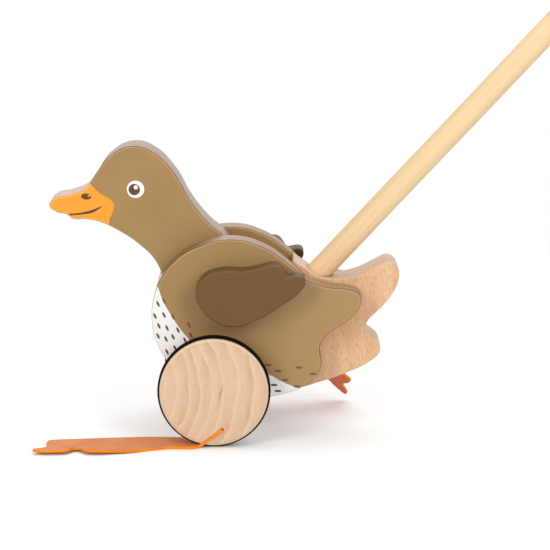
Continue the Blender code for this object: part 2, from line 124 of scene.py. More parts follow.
TAIL_OUTLINE = [
    (0.0478, 0.0680), (0.0489, 0.0742), (0.0497, 0.0754), (0.0512, 0.0744), (0.0562, 0.0711),
    (0.0600, 0.0682), (0.0650, 0.0653), (0.0750, 0.0637), (0.0900, 0.0665), (0.1020, 0.0723),
    (0.1088, 0.0751), (0.1122, 0.0739), (0.1146, 0.0714), (0.1157, 0.0676), (0.1153, 0.0632),
    (0.1135, 0.0580), (0.1102, 0.0524), (0.1062, 0.0473), (0.1012, 0.0423), (0.0966, 0.0375),
    (0.0951, 0.0345), (0.0951, 0.0315), (0.0970, 0.0286), (0.1000, 0.0264), (0.1028, 0.0238),
    (0.1042, 0.0205), (0.1040, 0.0170), (0.0980, 0.0110), (0.0840, 0.0038), (0.0660, -0.0026),
    (0.0510, -0.0065), (0.0340, -0.0050), (0.0230, 0.0030), (0.0205, 0.0180), (0.0240, 0.0380),
    (0.0340, 0.0520), (0.0440, 0.0610),
]

# The wing's outline is measured from the axle in X and from its own lowest point in Z
WING_OUTLINE = [
    (-0.0110, 0.0195), (-0.0066, 0.0303), (0.0040, 0.0348), (0.0200, 0.0350), (0.0290, 0.0367),
    (0.0365, 0.0384), (0.0400, 0.0376), (0.0428, 0.0346), (0.0446, 0.0319), (0.0460, 0.0308),
    (0.0490, 0.0312), (0.0535, 0.0315), (0.0558, 0.0300), (0.0560, 0.0266), (0.0520, 0.0207),
    (0.0410, 0.0128), (0.0270, 0.0042), (0.0122, 0.0000), (0.0000, 0.0035), (-0.0078, 0.0110),
]

# The foot: shares of its length from the rim and of the strap's width from inner to outer edge
FOOT_OUTLINE = [
    (0.314, 0.000), (0.471, 0.068), (0.627, 0.132), (0.784, 0.210), (0.902, 0.265), (0.928, 0.315),
    (0.936, 0.443), (0.934, 0.704), (0.926, 0.944), (0.935, 1.147), (0.980, 1.336), (1.000, 1.478),
    (0.996, 1.563), (0.971, 1.620), (0.853, 1.633), (0.799, 1.592), (0.740, 1.281), (0.686, 1.579),
    (0.627, 1.652), (0.510, 1.555), (0.412, 1.426), (0.333, 1.253), (0.265, 1.119), (0.196, 1.009),
    (0.049, 1.000),
]

# Rims and fineness of the finished pieces
BOARD_RIM = 0.0012
WING_RIM = 0.0014
TAIL_RIM = 0.0006
FLAT_MARGIN = 0.0004
STICK_FOOT_ROUND = 0.0006
STRAP_EDGE_ROUND = 0.0002
SLOT_FIT = 0.0001
RIM_STEPS = 4
OUTLINE_STEPS = 12
WHEEL_STEPS = 128
WHEEL_EDGE_STEPS = 5
TYRE_SHOULDER_STEPS = 4
STICK_STEPS = 64
STICK_END_STEPS = 6
STICK_FOOT_STEPS = 2
DRILL_STEPS = 32
FOLD_STEPS = 10
STRAP_STEP = 0.003
STRAP_STRIPS = 10
WELD = 1e-6
FACES_AXIS = 0.999
LIES_FLAT = 0.5
ROUND_SLACK = 10 * WELD
FLAT_ANGLE = math.radians(0.3)
SMOOTH_ANGLE = math.radians(38)

# How the leather curls: lifts, the shares of length and width that they take up, and where the feet bend
INNER_EDGE_LIFT = 0.0006
OUTER_EDGE_LIFT = 0.0018
CURL_LENGTH = (0.33, 0.6)
CURL_WIDTH = 0.98
DROOP_CUP = 0.0006
CUP_START = 0.03

# Places worked out from the sizes above
AXLE_HEIGHT = WHEEL_RADIUS
FLANK_INNER = CORE_THICKNESS / 2 + GLUE_GAP
FLANK_OUTER = FLANK_INNER + FLANK_THICKNESS
FLANK_MIDDLE = FLANK_INNER + FLANK_THICKNESS / 2
WING_INNER = FLANK_OUTER + GLUE_GAP
WING_MIDDLE = WING_INNER + WING_THICKNESS / 2
HUB_INNER = FLANK_OUTER + 2 * RUNNING_GAP + WASHER_THICKNESS
WHEEL_INNER = HUB_INNER + HUB_WIDTH + GLUE_GAP
WHEEL_FACE = WHEEL_INNER + WHEEL_WIDTH
WHEEL_MIDDLE = WHEEL_INNER + WHEEL_WIDTH / 2
RIM_RADIUS = WHEEL_RADIUS - TYRE_PROUD
GROOVE_RADIUS = WHEEL_RADIUS - TYRE_THICKNESS - GLUE_GAP
WING_BASE = {"left": WHEEL_RADIUS + WING_GAP, "right": WHEEL_RADIUS + WING_GAP + RIGHT_WING_LIFT}
FOOT_MIDDLE = WHEEL_FACE + STRAP_PROUD - STRAP_WIDTH / 2
MOUTH_LIFT = FOOT_THICKNESS / 2 + FOLD_RADIUS * (1 - math.cos(CUT_ANGLE))
MOUTH_TURN = math.acos(1 - MOUTH_LIFT / WHEEL_RADIUS)
SIDES = {"left": -1, "right": 1}
AXLE_MIDDLE = (0, 0, AXLE_HEIGHT)


# ---------------------------------------------------------------- finishes

def paint(red, green, blue):
    """A colour given as it looks on screen, 0 to 255, as the shader reads it."""
    def linear(value):
        value /= 255
        return value / 12.92 if value <= 0.04045 else ((value + 0.055) / 1.055) ** 2.4
    return (linear(red), linear(green), linear(blue), 1)


class Level:
    """A value in a finish. Sums written with it become Math nodes."""

    def __init__(self, sheet, socket):
        self.sheet = sheet
        self.socket = socket

    def math(self, operation, *terms):
        return self.sheet.node("ShaderNodeMath", {"operation": operation}, dict(enumerate(terms)))

    def __add__(self, other):
        return self.math("ADD", self, other)

    __radd__ = __add__

    def __sub__(self, other):
        return self.math("SUBTRACT", self, other)

    def __rsub__(self, other):
        return self.math("SUBTRACT", other, self)

    def __mul__(self, other):
        return self.math("MULTIPLY", self, other)

    __rmul__ = __mul__

    def __truediv__(self, other):
        return self.math("DIVIDE", self, other)

    def __rtruediv__(self, other):
        return self.math("DIVIDE", other, self)

    def __pow__(self, other):
        return self.math("POWER", self, other)

    def __mod__(self, other):
        return self.math("FLOORED_MODULO", self, other)

    def __abs__(self):
        return self.math("ABSOLUTE", self)

    def least(self, other):
        return self.math("MINIMUM", self, other)

    def most(self, other):
        return self.math("MAXIMUM", self, other)

    def fade(self, start, end):
        """0 at start, 1 at end, smooth in between and held outside."""
        return self.sheet.node(
            "ShaderNodeMapRange", {"interpolation_type": "SMOOTHSTEP"},
            {"Value": self, "From Min": start, "From Max": end},
        )


class Sheet:
    """A node tree that is filled in call by call."""

    def __init__(self, owner):
        owner.use_nodes = True
        self.tree = owner.node_tree
        self.tree.nodes.clear()

    def node(self, kind, settings=(), sockets=(), out=0):
        """Adds any node: its settings first, then the values or links of its sockets."""
        node = self.tree.nodes.new(kind)
        for key, value in dict(settings).items():
            if key == "bend":
                line = node.mapping.curves[0]
                for _ in range(len(value) - 2):
                    line.points.new(0, 0)
                for point, place in zip(line.points, value):
                    point.location = place
                node.mapping.update()
            else:
                setattr(node, key, value)
        for key, value in dict(sockets).items():
            if isinstance(value, Level):
                self.tree.links.new(value.socket, node.inputs[key])
            else:
                node.inputs[key].default_value = value
        return Level(self, node.outputs[out]) if node.outputs else None

    def place(self, centre=(0, 0, 0), turn=(0, 0, 0), size=(1, 1, 1)):
        """Object coordinates seen from a centre, turned, and counted in steps of the given size."""
        spot = self.node("ShaderNodeTexCoord", out="Object")
        return self.node(
            "ShaderNodeMapping", {"vector_type": "TEXTURE"},
            {"Vector": spot, "Location": centre, "Rotation": turn, "Scale": size},
        )

    def axes(self, spot):
        return [self.node("ShaderNodeSeparateXYZ", sockets={0: spot}, out=axis) for axis in range(3)]

    def noise(self, size, detail=2, rough=0.5, wander=0, turn=(0, 0, 0)):
        """Clouds of the given size, drawn out along the turned axes where the sizes differ."""
        return self.node(
            "ShaderNodeTexNoise", sockets={
                "Vector": self.place(turn=turn, size=size), "Scale": 1,
                "Detail": detail, "Roughness": rough, "Distortion": wander,
            },
        )

    def mix(self, share, low, high):
        return self.node("ShaderNodeMix", {"data_type": "RGBA"}, {0: share, 6: low, 7: high}, out=2)

    def bend(self, value, points):
        """A smooth line through (input, output) points, held level outside them."""
        first, last = points[0][0], points[-1][0]
        low = min(result for _, result in points)
        high = max(result for _, result in points)
        scaled = [((at - first) / (last - first), (result - low) / (high - low)) for at, result in points]
        along = (value - first) / (last - first)
        share = self.node("ShaderNodeFloatCurve", {"bend": scaled}, {"Value": along})
        return share * (high - low) + low

    def bump(self, height, depth):
        return self.node("ShaderNodeBump", sockets={"Height": height, "Strength": 1, "Distance": depth})


class Finish(Sheet):
    """A material."""

    def __init__(self, name):
        self.material = bpy.data.materials.new(name)
        super().__init__(self.material)

    def surface(self, colour, roughness, normal=None, **held):
        """Ends the finish in one shader; held values are the same all over."""
        sockets = {"Base Color": colour, "Roughness": roughness}
        if normal:
            sockets["Normal"] = normal
        sockets.update({key.replace("_", " "): value for key, value in held.items()})
        shader = self.node("ShaderNodeBsdfPrincipled", sockets=sockets)
        self.node("ShaderNodeOutputMaterial", sockets={"Surface": shader})
        return self.material


TAN = paint(163, 130, 82)
TAN_DEEP = paint(158, 124, 76)
# A lighter tan for the flank's rear: painted light
TAN_REAR_LIT = paint(170, 137, 90)
TAN_LINE = paint(112, 76, 42)
# The pale rim colour is partly worn print and partly a painted highlight on the rounded rim
RIM_WEAR_AND_HIGHLIGHT = paint(206, 164, 112)
EDGE_WOOD = paint(175, 153, 134)
EDGE_WOOD_DARK = paint(160, 137, 117)
# Darker flank edges towards the front and the rear: painted shade
FRONT_EDGE_SHADE = paint(122, 88, 54)
REAR_EDGE_SHADE = paint(152, 120, 86)
# Darker beech edges: partly the edge grain, partly painted shade
BEECH_EDGE_AND_SHADE = paint(205, 181, 158)
# Painted shadow in the gap round the stick at its socket
SOCKET_MOUTH_SHADE = paint(128, 84, 54)
BILL = paint(241, 158, 45)
# The bill's pale rim is partly worn paint and partly a painted highlight
BILL_RIM_WEAR_AND_HIGHLIGHT = paint(255, 196, 110)
BILL_LINE = paint(222, 136, 52)
BILL_EDGE = paint(207, 181, 155)
MARKING = paint(98, 60, 36)
EYE_WHITE = paint(250, 250, 248)
BELLY_WHITE = paint(238, 238, 236)
BELLY_RIM = paint(212, 206, 198)
WING_BROWN = paint(106, 77, 43)
WING_STREAK = paint(110, 81, 45)
WING_PORE = paint(95, 66, 31)
WING_EDGE = paint(82, 56, 28)
# The wing's inner face is darkened: painted shade
WING_BACK_SHADE = paint(72, 42, 16)
BEECH_DEEP = paint(222, 177, 136)
BEECH_PALE = paint(234, 194, 156)
BEECH_FIBRE = paint(211, 160, 115)
BEECH_FLECK = paint(190, 132, 84)
WHEEL_PALE = paint(220, 187, 156)
WHEEL_LATE = paint(209, 166, 131)
WHEEL_CLOUD = paint(216, 189, 148)
WHEEL_LINE = paint(227, 202, 173)
WHEEL_RAY = paint(200, 163, 130)
WHEEL_PORE = paint(192, 153, 118)
WHEEL_CRACK = paint(164, 119, 80)
# The wheel's rounded edge is paler: painted highlight
WHEEL_EDGE_HIGHLIGHT = paint(228, 203, 174)
WHEEL_EDGE_LINE = paint(186, 146, 112)
STICK_PALE = paint(240, 209, 164)
STICK_DEEP = paint(234, 200, 153)
DOWEL_PALE = paint(240, 212, 166)
DOWEL_DEEP = paint(226, 192, 142)
DOWEL_FLECK = paint(206, 166, 112)
RUBBER_BLACK = paint(12, 11, 9)
RUBBER_DUST = paint(20, 18, 16)
LEFT_LEATHER = paint(220, 131, 75), paint(230, 144, 87)
# The right foot's redder leather is the same leather with painted shade and bounce light
RIGHT_SHADED_LEATHER = paint(238, 120, 58), paint(245, 128, 66)
CUT_LEATHER = paint(246, 129, 8), paint(252, 146, 13)
FELT_DARK = paint(132, 128, 122)
FELT_PALE = paint(158, 154, 148)

# The way the grain leans on wings and tail
WING_GRAIN = (0, math.radians(-12), 0)
TAIL_GRAIN = (0, math.radians(-5), 0)

MM = 1000

# Depth below a printed board's face, in millimetres: the rim pales (worn print with a painted highlight), a
# line ends the print, bare wood starts
RIM_FADE = (0.01, 0.06)
LINE_FADE = (0.16, 0.26)
BARE_FADE = (0.6, 0.9)

# How softly one printed colour ends at the next, in millimetres
PRINT_FADE = (0.15, -0.15)

# A mark goes right through its board, so its reach across is far more than any board is thick
THROUGH = 1e3

# Marks on the duck's face, in millimetres from the floor under the axle: X and Z.
# A spot is its middle, its reach along and up, and its turn.
BILL_END = [
    (130, -66.4), (133.8, -65.9), (136.9, -65.5), (141.4, -63.6), (145.8, -62.6), (149.3, -64.7),
    (153, -70.9), (159, -77), (163, -81),
]
MOUTH_LINE = [(-94, 139.6), (-91.7, 139.8), (-83.6, 140.5), (-77.3, 141.7), (-74.2, 142.9), (-69.6, 145.6)]
MOUTH_HALF = [(-94, 0.5), (-83.6, 0.65), (-77.3, 0.9), (-74.2, 0.85), (-72, 0.55), (-69.6, 0.0)]
MOUTH_FADE = (0.12, -0.12)
MOUTH_END = (-69.4, -69.8)
EYE = (-49.1, 155.9), (5.4, 5.4)
PUPIL = (-49.9, 155.7), (3.6, 3.6)
GLINT = (-48.9, 157.1), (1.3, 1.3)
NOSTRIL = (-79.9, 151.3), (3.2, 1.95), math.radians(4)
NOSTRIL_NICK = (-77.3, 152.2), (1.9, 0.62), math.radians(-25)

# The wheels' growth rings: their middle, then in millimetres each line's distance from it and a dark ray
RING_CENTRE = (-0.058, 0, 0.038)
RING_LINES = [12, 20, 27.5, 35.3, 43.6, 49.8, 56.3, 63.0, 71.9, 82, 92, 102]
RAY_CRACK = (4.5, 35.2), (0.55, 4.4), math.radians(16)

# The white belly lies below this line, and small brown dashes are strewn along it
BELLY_LINE = [
    (-42, 108), (-38, 104), (-35.1, 97.7), (-31.5, 87.6), (-27.2, 80), (-22.9, 73), (-18, 66.6),
    (-10, 58), (0, 51.5), (15, 46.5), (34.9, 41), (41.2, 37.4), (47.4, 34.6), (52.4, 32.6), (62, 29),
]
BREAST_DASHES = [
    (-34.9, 86.6), (-36.9, 78.9), (-31.3, 79.6), (-34.5, 72.6), (-29.5, 71.3), (-22.7, 70.0),
    (-35.1, 66.2), (-30.2, 64.3), (-25.8, 65.6), (-18.4, 63.6), (-29.6, 56.0), (-24.6, 58.5),
    (-31.2, 88.5), (-25.7, 78.3), (-15.8, 73.2), (-14.6, 66.8),
]
RUMP_DASHES = [
    (33.3, 47.6), (39.6, 43.8), (52.7, 46.0), (61.5, 41.9), (37.1, 34.8), (39.6, 30.9), (44.0, 38.0),
    (51.5, 33.8),
]
BREAST_DASH = (0.72, 2.0), math.radians(-25)
RUMP_DASH = (2.3, 0.72), math.radians(2)

# Along the flank, in millimetres: painted light makes its print paler to the rear, and painted shade darkens
# its edge to the rear, and again to the front
REAR_LIGHT_FADE = (15, 60)
REAR_EDGE_SHADE_FADE = (4, 45)
FRONT_EDGE_SHADE_FADE = (8, -16)


def spot_distance(sheet, centre, reach, turn=0):
    """Distance from a mark's middle in X and Z, counted in its own reach; 1 is its outline."""
    spot = sheet.place(
        (centre[0] / MM, 0, centre[1] / MM), (0, turn, 0), (reach[0] / MM, THROUGH, reach[1] / MM)
    )
    return sheet.node("ShaderNodeVectorMath", {"operation": "LENGTH"}, {0: spot}, out="Value")


def inside(distance, soft=0.12):
    return distance.fade(1 + soft / 2, 1 - soft / 2)


def tan_ground(sheet):
    """Tan print, nearly even, with a trace of the wood's streaks."""
    streaks = sheet.noise((0.0006, 0.0006, 0.012), detail=3)
    clouds = sheet.noise((0.03, 0.03, 0.03), detail=2)
    return sheet.mix((streaks * 0.25 + clouds * 0.75).fade(0.3, 0.7), TAN_DEEP, TAN), streaks


def duck_face(sheet, x, z, ground, wood):
    """Bill, nostril, mouth and eye over the tan print; then the colours of rim, end line and edge."""
    bill = (x - sheet.bend(z, BILL_END)).fade(*PRINT_FADE)
    mouth_gap = abs(z - sheet.bend(x, MOUTH_LINE)) - sheet.bend(x, MOUTH_HALF)
    mouth = mouth_gap.fade(*MOUTH_FADE) * x.fade(*MOUTH_END)
    nostril = inside(spot_distance(sheet, *NOSTRIL))
    nick = inside(spot_distance(sheet, *NOSTRIL_NICK))
    colour = sheet.mix(bill, ground, BILL)
    colour = sheet.mix((mouth * bill).most(nostril * (1 - nick)), colour, MARKING)
    colour = sheet.mix(inside(spot_distance(sheet, *EYE), 0.06), colour, EYE_WHITE)
    colour = sheet.mix(inside(spot_distance(sheet, *PUPIL), 0.08), colour, MARKING)
    colour = sheet.mix(inside(spot_distance(sheet, *GLINT), 0.2), colour, EYE_WHITE)
    # The pale rim is partly worn print and partly a painted highlight
    rim = sheet.mix(bill, RIM_WEAR_AND_HIGHLIGHT, BILL_RIM_WEAR_AND_HIGHLIGHT)
    line = sheet.mix(bill, TAN_LINE, BILL_LINE)
    return colour, rim, line, sheet.mix(bill, wood, BILL_EDGE)


def speckled_belly(sheet, x, z, ground, wood):
    """A white belly with small brown dashes; then the colours of rim, end line and edge."""
    white = (z - sheet.bend(x, BELLY_LINE)).fade(*PRINT_FADE)
    marks = [(spot, *BREAST_DASH) for spot in BREAST_DASHES]
    marks += [(spot, *RUMP_DASH) for spot in RUMP_DASHES]
    nearest = None
    for mark in marks:
        distance = spot_distance(sheet, *mark)
        nearest = distance if nearest is None else nearest.least(distance)
    # Painted light: the print pales towards the rear
    colour = sheet.mix(x.fade(*REAR_LIGHT_FADE) * 0.7, ground, TAN_REAR_LIT)
    colour = sheet.mix(white, colour, BELLY_WHITE)
    colour = sheet.mix(inside(nearest, 0.25) * (white * 0.15 + 0.85), colour, MARKING)
    # The pale rim is partly worn print and partly a painted highlight
    rim = sheet.mix(white, RIM_WEAR_AND_HIGHLIGHT, BELLY_WHITE)
    line = sheet.mix(white, TAN_LINE, BELLY_RIM)
    # Painted shade: the edge darkens towards the rear and towards the front
    edge = sheet.mix(x.fade(*REAR_EDGE_SHADE_FADE) * 0.9, wood, REAR_EDGE_SHADE)
    edge = sheet.mix(x.fade(*FRONT_EDGE_SHADE_FADE) * 0.85, edge, FRONT_EDGE_SHADE)
    return colour, rim, line, edge


def printed_board(name, middle, thickness, marks):
    """Lacquered board: a print on both faces, pale at the rim (worn print with a painted highlight), ending
    in a dark line; then bare wood.
    """
    finish = Finish(name)
    x, y, z = [axis * MM for axis in finish.axes(finish.place())]
    ground, streaks = tan_ground(finish)
    depth = thickness / 2 * MM - abs(y - middle * MM)
    layers = finish.noise((0.009, 0.0006, 0.009), detail=3)
    wood = finish.mix(layers.fade(0.35, 0.65), EDGE_WOOD_DARK, EDGE_WOOD)
    colour, rim, line, bare = marks(finish, x, z, ground, wood)
    # The rim pales: worn print with a painted highlight
    colour = finish.mix(depth.fade(*RIM_FADE) * 0.6, colour, rim)
    colour = finish.mix(depth.fade(*LINE_FADE), colour, line)
    colour = finish.mix(depth.fade(*BARE_FADE), colour, bare)
    fine = finish.noise((0.0004, 0.0004, 0.0004), detail=2)
    normal = finish.bump(streaks * 0.6 + fine * 0.4, 0.00003)
    return finish.surface(colour, fine * 0.08 + 0.36, normal, Specular_IOR_Level=0.35)


def brown_wing_finish():
    """Brown stained wing: streaks along its length, a darker edge, and painted shade on its inner face."""
    finish = Finish("brown_stain_lacquer")
    streaks = finish.noise((0.012, 0.0007, 0.0007), detail=3, turn=WING_GRAIN)
    pores = finish.noise((0.0005, 0.0005, 0.0016), detail=2)
    colour = finish.mix(streaks.fade(0.3, 0.7), WING_BROWN, WING_STREAK)
    colour = finish.mix(pores.fade(0.6, 0.75) * 0.35, colour, WING_PORE)
    _, y, _ = finish.axes(finish.place())
    depth = WING_THICKNESS / 2 - abs(abs(y) - WING_MIDDLE)
    colour = finish.mix(depth.fade(0.0003, 0.0012) * 0.6, colour, WING_EDGE)
    # Painted shade: the inner face against the flank is darkened
    inner = (abs(y) - WING_INNER).fade(0.0016, 0.0002)
    colour = finish.mix(inner * 0.85, colour, WING_BACK_SHADE)
    normal = finish.bump(streaks * 0.5 + pores * 0.5, 0.00003)
    return finish.surface(colour, pores * 0.1 + 0.42, normal, Specular_IOR_Level=0.22)


def beech_finish():
    """Clear lacquered beech: soft upright bands and fine, short, orange-brown flecks."""
    finish = Finish("lacquered_beech")
    bands = finish.noise((0.007, 0.02, 0.05), detail=3, wander=0.4, turn=TAIL_GRAIN)
    flecks = finish.noise((0.0003, 0.001, 0.0042), detail=1, rough=0.4, turn=TAIL_GRAIN)
    fibres = finish.noise((0.0003, 0.0006, 0.009), detail=2, turn=TAIL_GRAIN)
    colour = finish.mix(bands.fade(0.3, 0.7), BEECH_DEEP, BEECH_PALE)
    colour = finish.mix(fibres.fade(0.4, 0.7) * 0.55, colour, BEECH_FIBRE)
    colour = finish.mix(flecks.fade(0.51, 0.66) * 0.58, colour, BEECH_FLECK)
    # The edges are darker, partly for the edge grain and partly as painted shade
    _, y, _ = finish.axes(finish.place())
    depth = CORE_THICKNESS / 2 - abs(y)
    colour = finish.mix(depth.fade(0.0002, 0.0007) * 0.8, colour, BEECH_EDGE_AND_SHADE)
    # Painted shadow: a dark ring in the gap round the stick where it enters the tail
    entry = (STICK_ENTRY[0], 0, AXLE_HEIGHT + STICK_ENTRY[1])
    x, y, _ = finish.axes(finish.place(centre=entry, turn=(0, STICK_LEAN, 0)))
    past_stick = (x * x + y * y) ** 0.5 - STICK_RADIUS
    colour = finish.mix(past_stick.fade(0.001, 0.0004) * 0.7, colour, SOCKET_MOUTH_SHADE)
    normal = finish.bump(fibres * 0.5 - flecks.fade(0.55, 0.68) * 0.5, 0.00004)
    return finish.surface(colour, bands * 0.08 + 0.38, normal, Specular_IOR_Level=0.4)


def wheel_wood_finish():
    """Pale turned wood: rings round a point in front of the wheel, short rays, a painted highlight on the
    rounded edge.
    """
    finish = Finish("pale_wheel_wood")
    x, y, z = finish.axes(finish.place(centre=RING_CENTRE))
    wander = finish.noise((0.014, 0.2, 0.03), detail=3)
    ripple = finish.noise((0.004, 0.2, 0.009), detail=2)
    reach = (x * x + z * z) ** 0.5 * MM + (wander - 0.5) * 6.5 + (ripple - 0.5) * 2.4
    ring = finish.bend(reach, [(line, count) for count, line in enumerate(RING_LINES)]) % 1
    late = ring.fade(0.15, 0.9) * ring.fade(1, 0.96)
    pale_line = ring.fade(0.0, 0.05) * ring.fade(0.3, 0.08)
    patches = finish.noise((0.007, 0.2, 0.03), detail=3)
    rays = finish.noise((0.0026, 0.003, 0.00033), detail=2)
    pores = finish.noise((0.0004, 0.002, 0.0004), detail=2)
    crack = inside(spot_distance(finish, *RAY_CRACK), 1.4)
    colour = finish.mix(late * patches.fade(0.35, 0.65), WHEEL_PALE, WHEEL_LATE)
    clouds = finish.noise((0.016, 0.2, 0.022), detail=3)
    colour = finish.mix(clouds.fade(0.45, 0.7) * 0.45, colour, WHEEL_CLOUD)
    colour = finish.mix(pale_line * 0.5, colour, WHEEL_LINE)
    colour = finish.mix(rays.fade(0.5, 0.75) * 0.4, colour, WHEEL_RAY)
    colour = finish.mix(pores.fade(0.6, 0.75) * 0.25, colour, WHEEL_PORE)
    colour = finish.mix(crack * 0.5, colour, WHEEL_CRACK)
    # Painted highlight on the rounded edge, with a darker line where the rounding starts
    x, _, z = finish.axes(finish.place(centre=AXLE_MIDDLE))
    past_face = (x * x + z * z) ** 0.5 - (RIM_RADIUS - WHEEL_EDGE_ROUND)
    colour = finish.mix(past_face.fade(0.0001, 0.0005) * 0.6, colour, WHEEL_EDGE_HIGHLIGHT)
    colour = finish.mix(abs(past_face).fade(0.0004, 0.0001) * 0.3, colour, WHEEL_EDGE_LINE)
    normal = finish.bump(rays * 0.5 + pores * 0.5, 0.00004)
    return finish.surface(colour, pores * 0.1 + 0.5, normal, Specular_IOR_Level=0.35)


def dowel_wood_finish(name, turn, pale, deep):
    """Straight-grained dowel: long streaks along it, turned to lie along +Z of the pattern."""
    finish = Finish(name)
    streaks = finish.noise((0.0022, 0.0022, 0.09), detail=4, rough=0.6, turn=turn)
    fibres = finish.noise((0.0005, 0.0005, 0.012), detail=2, turn=turn)
    flecks = finish.noise((0.0006, 0.0006, 0.004), detail=1, turn=turn)
    colour = finish.mix(streaks.fade(0.3, 0.7), deep, pale)
    colour = finish.mix(fibres.fade(0.5, 0.8) * 0.2, colour, deep)
    colour = finish.mix(flecks.fade(0.68, 0.78) * 0.3, colour, DOWEL_FLECK)
    normal = finish.bump(fibres, 0.00003)
    return finish.surface(colour, streaks * 0.1 + 0.42, normal, Specular_IOR_Level=0.35)


def tyre_finish():
    """Black rubber with a fine matt grain."""
    finish = Finish("black_rubber")
    grain = finish.noise((0.0004, 0.0004, 0.0004), detail=3)
    dust = finish.noise((0.008, 0.008, 0.008), detail=2)
    colour = finish.mix(dust.fade(0.4, 0.8), RUBBER_BLACK, RUBBER_DUST)
    return finish.surface(colour, grain * 0.1 + 0.85, finish.bump(grain, 0.00005), Specular_IOR_Level=0.08)


def leather_finish(name, colour_low, colour_high, roughness, sheen):
    """Dyed leather: a pebbled grain with cloudy dye."""
    finish = Finish(name)
    pebbles = finish.node(
        "ShaderNodeTexVoronoi", {"feature": "SMOOTH_F1"},
        {"Vector": finish.place(size=(0.0009, 0.0009, 0.0009)), "Scale": 1, "Smoothness": 0.6},
    )
    clouds = finish.noise((0.012, 0.012, 0.012), detail=3)
    fine = finish.noise((0.0003, 0.0003, 0.0003), detail=2)
    colour = finish.mix((clouds * 0.7 + fine * 0.3).fade(0.35, 0.65), colour_low, colour_high)
    normal = finish.bump(pebbles * 0.6 + fine * 0.4, 0.00006)
    return finish.surface(colour, fine * 0.12 + roughness, normal, Specular_IOR_Level=sheen)


def felt_finish():
    """Grey felt washer: matted fibres."""
    finish = Finish("grey_felt")
    fibres = finish.noise((0.0003, 0.0003, 0.0003), detail=4, rough=0.7, wander=1.5)
    colour = finish.mix(fibres.fade(0.3, 0.7), FELT_DARK, FELT_PALE)
    return finish.surface(colour, fibres * 0.05 + 0.9, finish.bump(fibres, 0.00015), Specular_IOR_Level=0.2)


# ---------------------------------------------------------------- modelling steps

def start_fresh():
    """Leaves edit mode and selects nothing."""
    if bpy.context.object and bpy.context.object.mode == "EDIT":
        bpy.ops.object.mode_set(mode="OBJECT")
    bpy.ops.object.select_all(action="DESELECT")


def pick_up(piece):
    start_fresh()
    piece.select_set(True)
    bpy.context.view_layer.objects.active = piece


def edit(piece):
    pick_up(piece)
    bpy.ops.object.mode_set(mode="EDIT")
    bpy.ops.mesh.select_all(action="SELECT")


def put_down():
    bpy.ops.object.mode_set(mode="OBJECT")


def select_faces(piece, test):
    bpy.ops.mesh.select_mode(type="FACE")
    bpy.ops.mesh.select_all(action="DESELECT")
    cage = bmesh.from_edit_mesh(piece.data)
    for face in cage.faces:
        face.select_set(test(face))
    bmesh.update_edit_mesh(piece.data)


def select_edges(piece, test):
    bpy.ops.mesh.select_mode(type="EDGE")
    bpy.ops.mesh.select_all(action="DESELECT")
    cage = bmesh.from_edit_mesh(piece.data)
    for edge in cage.edges:
        edge.select_set(test(edge))
    bmesh.update_edit_mesh(piece.data)


def fix_place(piece):
    pick_up(piece)
    bpy.ops.object.transform_apply(location=True, rotation=True, scale=True)


def name_piece(name):
    piece = bpy.context.object
    piece.name = name
    piece.data.name = name
    return piece


def flat_piece(name, outline, half_thickness, rim, steps, corners=()):
    """A flat mesh cut to a smooth outline lying in XY, with rounded rims and square corners where asked."""
    start_fresh()
    bpy.ops.curve.primitive_bezier_circle_add(radius=STRAP_WIDTH)
    curve = name_piece(name).data
    curve.dimensions = "2D"
    curve.fill_mode = "BOTH"
    curve.extrude = half_thickness - rim
    curve.bevel_depth = rim
    curve.bevel_resolution = RIM_STEPS if rim else 0
    curve.offset = -rim
    curve.resolution_u = steps
    knots = curve.splines[0].bezier_points
    knots.add(len(outline) - len(knots))
    for index, (knot, (along, up)) in enumerate(zip(knots, outline)):
        knot.co = (along, up, 0)
        kind = "VECTOR" if index in corners else "AUTO"
        knot.handle_left_type = kind
        knot.handle_right_type = kind
    bpy.ops.object.convert(target="MESH")
    piece = name_piece(name)
    edit(piece)
    bpy.ops.mesh.remove_doubles(threshold=WELD)
    select_faces(piece, lambda face: abs(face.normal.z) > FACES_AXIS)
    bpy.ops.mesh.dissolve_limited(angle_limit=FLAT_ANGLE)
    bpy.ops.mesh.select_all(action="SELECT")
    bpy.ops.mesh.normals_make_consistent(inside=False)
    put_down()
    return piece


def saw_board(name, outline, thickness, middle, base, rim):
    """A board standing in the XZ plane with sanded rims; a margin round each face keeps the face flat."""
    board = flat_piece(name, outline, thickness / 2, rim, OUTLINE_STEPS)
    board.rotation_euler = (math.pi / 2, 0, 0)
    board.location = (0, middle, AXLE_HEIGHT + base)
    fix_place(board)
    edit(board)
    select_faces(board, lambda face: abs(face.normal.y) > FACES_AXIS)
    bpy.ops.mesh.inset(thickness=FLAT_MARGIN, depth=0, use_even_offset=False)
    put_down()
    return board


def mirrored_copy(piece, name, lift=0):
    """The same piece on the duck's right side, with its own mesh."""
    pick_up(piece)
    bpy.ops.object.duplicate(linked=False)
    copy = name_piece(name)
    edit(copy)
    bpy.ops.transform.resize(value=(1, -1, 1), center_override=(0, 0, 0))
    if lift:
        bpy.ops.transform.translate(value=(0, 0, lift))
    bpy.ops.mesh.normals_make_consistent(inside=False)
    put_down()
    return copy


def drill_along_y(radius, low, high, place):
    """A drill from y = low to y = high, at a place (x, z) measured from the axle."""
    start_fresh()
    bpy.ops.mesh.primitive_cylinder_add(
        vertices=DRILL_STEPS, radius=radius, depth=high - low, rotation=(math.pi / 2, 0, 0),
        location=(place[0], (low + high) / 2, AXLE_HEIGHT + place[1]),
    )
    return bpy.context.object


